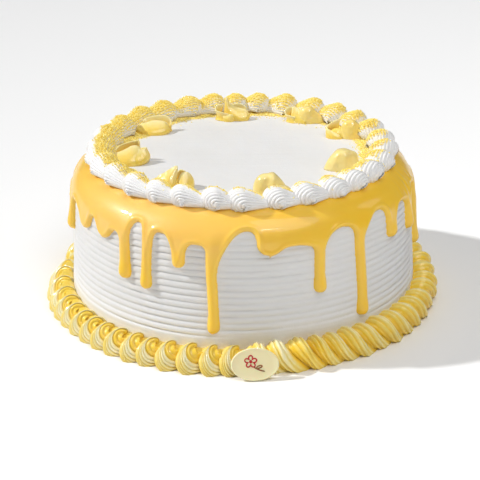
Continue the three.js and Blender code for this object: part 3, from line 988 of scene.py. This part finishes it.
def blob(centre, radii, power, tapers, creases, pale=0.7):
    """A flat-topped lump; each crease has its place, slant, spread and depth, less than 0 for a ridge."""
    left, right, deep, high = radii
    rows, columns = 40, 64
    a = np.linspace(-0.2, math.pi / 2 - 1e-5, rows)[:, None]
    b = np.linspace(0, 2 * math.pi, columns, endpoint=False)[None, :]
    flat, tall = np.cos(a) ** (2 / power), np.sign(np.sin(a)) * np.abs(np.sin(a)) ** (2 / power)
    x, y, z = flat * np.cos(b), flat * np.sin(b) * deep, (tall + 0 * b) * high
    lift = np.clip(z / high, 0, 1) ** 1.2
    side = smooth_step(x, -0.7, 0.7)
    x = x * (left * (1 - tapers[0] * lift) * (1 - side) + right * (1 - tapers[1] * lift) * side)
    inward = 0.3 * np.sin(0.55 * x + 0.35 * z + centre[0]) * np.sin(0.45 * z - 0.3 * y + 1)
    inward = inward + 0.15 * np.sin(1.1 * x - 0.5 * z + 2) * np.sin(0.8 * z + 0.4 * x)
    for place, slant, spread, depth in creases:
        inward = inward + depth * bell(x - place - slant * z, 0, spread)
    pull = inward / deep * smooth_step(z, 0, high * 0.35)
    y = y * (1 - pull)
    z = z * (1 - 0.12 * pull)
    p = np.stack([x, y, z], -1) + np.asarray(centre)
    p[..., 2] = np.maximum(p[..., 2], -0.2)
    return p.reshape(-1, 3), grid_faces(rows, columns), np.full(rows * columns, pale)


LEFT = [
    mound((0, 0, 0), (10, 7, 6.2)),
    fold([(-9, 3.5), (-11, -1), (-7, -6), (0, -7.8), (7, -6), (10.5, -1), (9, 3)],
         [(-9.3, 3, 6.6), (-9.6, 0.6, 6.0), (-6.5, -0.6, 6.8), (-2, 0.5, 8.3), (2, 1.4, 10.2), (5.2, 2, 10.2),
          (8.4, 1.8, 8.8), (12.3, 0.2, 9.8)], 2.6, 2.0, 0.12),
    fold([(-8, 2.5), (-5, 5.5), (1, 6.5), (7, 4)],
         [(-9.8, 1.5, 6.0), (-7, 5.4, 9.0), (-1, 6, 11.4), (3.6, 5.6, 12.6), (6.8, 5, 13.2), (7.2, 3.4, 10.4)],
         -1.0, 1.3),
    fold([(3, -6), (7, -6.2), (10.5, -2), (10, 2)],
         [(3.4, 0.4, 9.4), (6, -0.4, 8.6), (9.6, -0.8, 8.6), (12.4, 0.1, 10.0)], 3.0, 1.6),
]
FRONT_LEFT = [
    mound((0, 0, 0), (10, 7, 6)),
    fold([(-3, 5), (-10, 3), (-11, -3), (-5, -7), (1.5, -6)],
         [(-4, 3.5, 8), (-10.6, 1, 4.6), (-8.4, 0, 8.0), (-3, 0.4, 11.4), (1.6, 0.8, 13.8), (3.2, 0, 13.6),
          (2.6, -2, 9), (1.2, -4.4, 4)], 2.0, 2.0),
    fold([(3, -5.5), (7, -6.5), (11.3, -3), (11, 2), (6, 5)],
         [(4.2, -1.5, 7.2), (6.2, -0.6, 9.6), (9.4, 0.2, 9.9), (11, 1.5, 8.2), (7.5, 4, 9.0)], 1.6, 2.2),
    fold([(1, 5), (5, 6), (9, 5)], [(2.6, 2.6, 8.6), (5, 3.6, 10.6), (8.5, 3.2, 9.6)], 0.6, 1.4),
]
FRONT_RIGHT = [
    blob((-0.4, 0.2, 0), (11.6, 11.8, 6.8, 14.0), 2.8, (0.04, 0.55),
         [(-2.6, 0.05, 2.4, 1.4), (3.0, -0.1, 2.2, -0.7), (6.6, -0.15, 1.8, 0.5)]),
    fold([(2, -6), (6, -7.2), (10, -5), (12.4, 0)],
         [(1.6, -5.0, 5.6), (5.5, -5.4, 7.0), (8.8, -3.0, 6.2), (11.6, 1.0, 3.2)], 1.6, 2.0),
]
RIGHT = [
    blob((0, 0.2, 0), (13.0, 10.0, 6.6, 13.4), 3.5, (0.5, -0.06),
         [(11.2, -0.43, 2.2, 2.0), (-8.4, 0.35, 1.6, -0.9), (1.5, -0.1, 2.6, -0.8)]),
]
RIGHT_BACK = [
    blob((4.6, -1.2, 0), (7.6, 13.2, 5.4, 13.0), 2.4, (-0.1, 0.62), [(3.4, 0.3, 3.0, 1.2)], 0.3),
    mound((-4.4, 0.4, 0), (7.4, 4.6, 6.4)),
    fold([(-5, 4), (-11.6, 1.8), (-10.6, -3), (-6.4, -5.0), (-1.4, -4.6)],
         [(-2.6, 1.6, 12.8), (-8.6, 2.6, 9.8), (-12.2, 0.8, 7.0), (-9.0, -2.4, 5.0), (-3.4, -4.4, 2.6)], 0.8, 1.5),
]
BACK_RIGHT = [
    mound((0, 1, 0), (10.5, 5, 5)),
    fold([(-2, -3.6), (-7, -3.8), (-11, 0), (-9, 3.5), (-4, 4.5)],
         [(-2.6, -2, 3.6), (-7.4, -2.4, 4.6), (-12, 0.2, 5.8), (-10.8, 2.8, 9.0), (-6.6, 3.6, 9.6), (-3, 3.8, 9.0)],
         0.8, 1.3),
    fold([(-8, 0.4), (-4, -2.6), (1, -4.6), (2.8, -4)],
         [(-7, 2.8, 9.6), (-4, 2.4, 9.4), (0, 0.2, 6.6), (2.2, -2.6, 3.2)], 1.4, 2.0),
    blob((4.4, -0.6, 0), (7.4, 11.6, 5.2, 11.4), 2.4, (-0.1, 0.6), [(3.2, 0.3, 2.8, 1.1)], 0.4),
    fold([(6, -3.6), (12, -2), (16, 1.6)], [(7, -2.2, 2.2), (11.5, -0.4, 3.4), (16, 2, 1.4)], 0.8, 1.8),
]
BACK = [
    mound((0, 1, 0), (9.5, 4.6, 5)),
    fold([(2, -4.4), (-3, -4.4), (-8, -3.4), (-10.8, 0), (-9, 3)],
         [(1.5, -3.8, 3.4), (-2, -3.6, 4.8), (-7, -2.8, 6.0), (-11.2, 0, 7.0), (-9.6, 2.6, 9.8), (-5, 3.2, 9.6)],
         0.9, 1.3),
    fold([(-5, 1), (0, -2), (6, -4), (11, -3), (11.5, 1)],
         [(-4.4, 3, 10), (-3.2, 3.6, 15.4), (-1.4, 3, 11.6), (2, 2.4, 8.8), (7, 1.8, 7.2), (11, 0.8, 6.2),
          (11.8, 2, 4)], 1.5, 1.4),
    fold([(0, 3), (5, 4), (10, 3)], [(0, 4.5, 9.2), (5, 5.4, 9.8), (10, 5, 8), (11, 4, 6)], 0.5, 1.0),
    fold([(-5.4, -4.6), (-2, -5.6), (0.8, -5), (1.2, -3.4)],
         [(-6, -3.8, 3.4), (-3, -4.2, 3.6), (0.2, -4.6, 4.8), (1.6, -3.2, 3.8)], 0.7, 1.2),
]
LEFT_BACK = [
    mound((0, 0.5, 0), (9.5, 5.5, 6)),
    fold([(-8, 4), (-10.6, 0), (-7, -5.6), (0, -7), (6.5, -5), (10, 0)],
         [(-8.4, 3, 6), (-9.4, 0.6, 5.4), (-5.6, 0, 6.4), (-1.4, 1.4, 7.2), (5, 1.2, 7.0), (9.4, 1, 5.2)],
         2.2, 2.2, 0.1),
    fold([(-9, 2), (-3, 4), (4, 4.4), (10, 3), (11.5, 0)],
         [(-8.6, 3.4, 6.8), (-6, 4.8, 8.4), (-1, 5, 9.6), (6.8, 5, 10.0), (10.8, 4, 7.6), (11.6, 1.4, 5)], 1.2, 1.8),
]
DOLLOPS = [
    (-171, 76.2, LEFT), (-126, 75.4, FRONT_LEFT), (-76, 76.5, FRONT_RIGHT), (-25, 73.5, RIGHT),
    (24.5, 78.5, RIGHT_BACK), (57, 80.0, BACK_RIGHT), (95.5, 75.0, BACK), (141, 78.0, LEFT_BACK),
]


def add_dollops():
    material = cream_material()
    for index, (at, radius, parts) in enumerate(DOLLOPS):
        points, faces, thin, total = [], [], [], 0
        for part_points, part_faces, part_thin in parts:
            points.append(part_points)
            faces.append(part_faces + total)
            thin.append(part_thin)
            total += len(part_points)
        place = np.array([radius * math.cos(math.radians(at)), radius * math.sin(math.radians(at)), TOP_HEIGHT - 0.1])
        piece = add_mesh(f"cream_fold_{index + 1}", np.concatenate(points) + place, np.concatenate(faces), material)
        add_values(piece, "thin", np.concatenate(thin))
        finish_piece(piece, "yellow_cream", f"dollop_{index + 1}")


# Sugar, thrown from above and kept where it lands

def sugar_share(points, normals):
    """How much of the surface the sugar covers at each point, from 0 to 1."""
    radius = np.hypot(points[:, 0], points[:, 1])
    degrees = np.degrees(np.arctan2(points[:, 1], points[:, 0]))
    inward = -points[:, :2] / np.maximum(radius, 1)[:, None]
    left = bell((degrees - 176 + 180) % 360 - 180, 0, 42)
    back = bell((degrees - 72 + 180) % 360 - 180, 0, 80)
    front = np.clip(1 - left - back, 0, 1)
    lean = np.radians(34 * front + 6 * left - 2 * back)
    facing = normals[:, 2] * np.cos(lean) + (normals[:, :2] * inward).sum(1) * np.sin(lean)
    patches = 0.10 * np.sin(0.31 * points[:, 0] + 1.3 * np.sin(0.23 * points[:, 1])) * np.sin(0.27 * points[:, 1])
    on_shells = smooth_step(facing + patches, 0.80 - 0.30 * left - 0.30 * back, 0.93 - 0.14 * left - 0.20 * back)
    on_shells *= smooth_step(-radius, -100 + 3.0 * front - 4 * back, -95 + 2.0 * front - 4 * back)
    right = bell((degrees + 2 + 180) % 360 - 180, 0, 25)
    reach = 81 - 7 * left * (1 + 0.5 * np.sin(degrees * 0.35)) - 3.5 * right
    on_top = (0.25 + 0.6 * left + 0.45 * back) * smooth_step(radius, reach, reach + 5)
    share = np.where(points[:, 2] > TOP_HEIGHT + 0.6, on_shells, on_top)
    return np.clip(share, 0, 1)


def mesh_arrays(piece):
    mesh = piece.data
    points = np.empty(len(mesh.vertices) * 3, dtype=np.float32)
    mesh.vertices.foreach_get("co", points)
    normals = np.empty(len(mesh.vertices) * 3, dtype=np.float32)
    mesh.vertices.foreach_get("normal", normals)
    return points.reshape(-1, 3) / MM, normals.reshape(-1, 3)


def add_sugar(*pieces):
    trees = []
    for piece in pieces:
        points, normals = mesh_arrays(piece)
        dust = sugar_share(points, normals) * (points[:, 2] > TOP_HEIGHT - 1) * smooth_step(
            np.hypot(points[:, 0], points[:, 1]), 70, 76)
        add_values(piece, "dust", dust ** 0.65)
        faces = [tuple(face.vertices) for face in piece.data.polygons]
        trees.append(BVHTree.FromPolygons([Vector(v) for v in points * MM], faces))
    draw = np.random.default_rng(17)
    tries = 58000
    degrees = draw.uniform(-180, 180, tries)
    radius = np.sqrt(draw.uniform(68 ** 2, 105 ** 2, tries))
    spots, normals = [], []
    for a, r in zip(np.radians(degrees), radius):
        start = Vector((r * math.cos(a) * MM, r * math.sin(a) * MM, 0.13))
        best = None
        for tree in trees:
            hit = tree.ray_cast(start, Vector((0, 0, -1)), 0.05)
            if hit[0] is not None and (best is None or hit[0].z > best[0].z):
                best = hit
        spots.append(best[0])
        normals.append(best[1])
    spots = np.array(spots) / MM
    normals = np.array(normals)
    stray = 0.012 * smooth_step(radius, 68, 80) * smooth_step(-radius, -104, -96)
    keep = draw.uniform(0, 1, tries) < sugar_share(spots, normals) + stray
    spots, normals = spots[keep], normals[keep]
    count = len(spots)
    shape = np.array([(1, 0, 0), (-1, 0, 0), (0, 1, 0), (0, -1, 0), (0, 0, 1), (0, 0, -1)], dtype=float)
    faces = np.array([(0, 2, 4), (2, 1, 4), (1, 3, 4), (3, 0, 4), (2, 0, 5), (1, 2, 5), (3, 1, 5), (0, 3, 5)])
    size = draw.uniform(0.40, 0.66, (count, 1, 1)) * draw.uniform(0.8, 1.25, (count, 6, 1))
    axes = np.linalg.qr(draw.normal(size=(count, 3, 3)))[0]
    axes *= np.sign(np.linalg.det(axes))[:, None, None]
    grains = (shape[None] * size) @ axes
    grains += (spots + normals * draw.uniform(0.05, 0.45, (count, 1)))[:, None, :]
    all_faces = (faces[None] + 6 * np.arange(count)[:, None, None]).reshape(-1, 3)
    piece = add_mesh("sugar_grains", grains.reshape(-1, 3), all_faces, sugar_material(), smooth=False)
    finish_piece(piece, "yellow_cream")
    print("sugar grains", count)


# Plaque

def add_plaque():
    width, height, thick, lean, at, foot = 30, 20.4, 2.2, 22, -87.3, 139.6
    rows = 40
    turn = np.linspace(0, 2 * math.pi, 96, endpoint=False)
    sections = [(0.0, 0.0), (0.35, 0.0), (0.7, 0.0), (0.9, 0.0), (0.955, 0.02), (0.985, 0.12), (1.0, 0.4), (1.0, 0.75),
                (1.0, 1.6), (0.985, 1.95), (0.955, 2.2), (0.94, 2.17), (0.925, 2.08), (0.91, 2.02), (0.7, 2.0),
                (0.35, 2.0), (0.0, 2.0)]
    share = np.array([s[0] for s in sections[1:-1]])[:, None]
    level = np.array([s[1] for s in sections[1:-1]])[:, None]
    y = share * np.cos(turn)[None] * width / 2
    z = share * np.sin(turn)[None] * height / 2 + height / 2
    x = level + 0 * y
    points = np.stack([x, y, z], -1).reshape(-1, 3)
    columns = len(turn)
    faces = grid_faces(len(share), columns)
    fans = []
    for row, value in ((0, 0.0), (len(share) - 1, 2.0)):
        middle = len(points)
        points = np.vstack([points, [[value, 0, height / 2]]])
        ring = row * columns + np.arange(columns)
        after = np.roll(ring, -1)
        hub = np.full(columns, middle)
        fans.append(np.stack([hub, after, ring] if row == 0 else [hub, ring, after], 1))
    piece = add_fans("oval_plaque", plaque_place(points, lean, at, foot), faces, fans, plaque_material())
    finish_piece(piece, "cream_plaque", "plaque")
    add_motif(lean, at, foot)


def stroke(path, radius, closed):
    """A thin line of paint along a path on the plaque's face, as points across and up it."""
    path = np.asarray(path, dtype=float)
    if closed:
        tangent = np.roll(path, -1, 0) - np.roll(path, 1, 0)
        size = np.full(len(path), radius)
    else:
        tangent = np.gradient(path, axis=0)
        size = radius * np.sqrt(np.clip(1 - np.linspace(-1, 1, len(path)) ** 6, 0.04, 1))
    tangent /= np.linalg.norm(tangent, axis=1, keepdims=True)
    over = np.linspace(0, 2 * math.pi, 8, endpoint=False)[None, :, None]
    side = np.stack([-tangent[:, 1], tangent[:, 0]], 1)[:, None, :]
    flat = path[:, None, :] + size[:, None, None] * np.cos(over) * side
    level = 2.05 + 0.55 * size[:, None, None] * np.sin(over)
    points = np.concatenate([level, flat], 2).reshape(-1, 3)
    return points, grid_faces(len(path), 8, close_rows=closed)


def add_motif(lean, at, foot):
    """A five-petal flower on a curved stem, painted on the plaque."""
    turn = np.linspace(0, 2 * math.pi, 120, endpoint=False)
    petal = 1.5 + 2.3 * np.abs(np.cos(2.5 * turn)) ** 0.7
    flower = np.stack([-2.6 + petal * np.cos(turn + 0.3), 12.0 + petal * np.sin(turn + 0.3)], 1)
    eye = np.stack([-2.6 + 0.55 * np.cos(turn[::6]), 12.0 + 0.55 * np.sin(turn[::6])], 1)
    u = np.linspace(0, 1, 24)
    stem = np.stack([-1.4 + 7.6 * u, 9.0 - 5.4 * u + 2.2 * u ** 2], 1)
    leaf = np.stack([2.6 + 1.7 * np.cos(turn[::4]), 8.6 + 0.75 * np.sin(turn[::4]) + 0.5 * np.cos(turn[::4])], 1)
    red = paint_material("red_paint", (0.55, 0.012, 0.02), (0.45, 0.01, 0.02))
    brown = paint_material("brown_paint", (0.30, 0.11, 0.03), (0.24, 0.08, 0.02))
    for name, material, lines in (
            ("painted_flower", red, [(flower, 0.42, True), (eye, 0.5, True)]),
            ("painted_stem", brown, [(stem, 0.42, False), (leaf, 0.42, True)])):
        points, faces, total = [], [], 0
        for line in lines:
            line_points, line_faces = stroke(*line)
            points.append(line_points)
            faces.append(line_faces + total)
            total += len(line_points)
        piece = add_mesh(name, plaque_place(np.concatenate(points), lean, at, foot), np.concatenate(faces), material)
        finish_piece(piece, "cream_plaque")


def plaque_place(points, lean, at, foot):
    """From the plaque's own frame, x out of its face and z up it, to the cake's."""
    c, s = math.cos(math.radians(lean)), math.sin(math.radians(lean))
    x = foot + points[:, 0] * c - points[:, 2] * s
    z = points[:, 0] * s + points[:, 2] * c
    a = math.radians(at)
    return np.stack([x * math.cos(a) - points[:, 1] * math.sin(a), x * math.sin(a) + points[:, 1] * math.cos(a), z], 1)


def add_floor():
    size = 3000
    points = np.array([(-size, -size, 0), (size, -size, 0), (size, size, 0), (-size, size, 0)], dtype=float)
    floor = add_mesh("floor", points, [(0, 1, 2, 3)], floor_material(), smooth=False)


body = add_body()
glaze = add_glaze()
shells = add_shells()
add_rope()
add_dollops()
add_sugar(shells, body)
add_plaque()
add_floor()

bpy.context.view_layer.update()
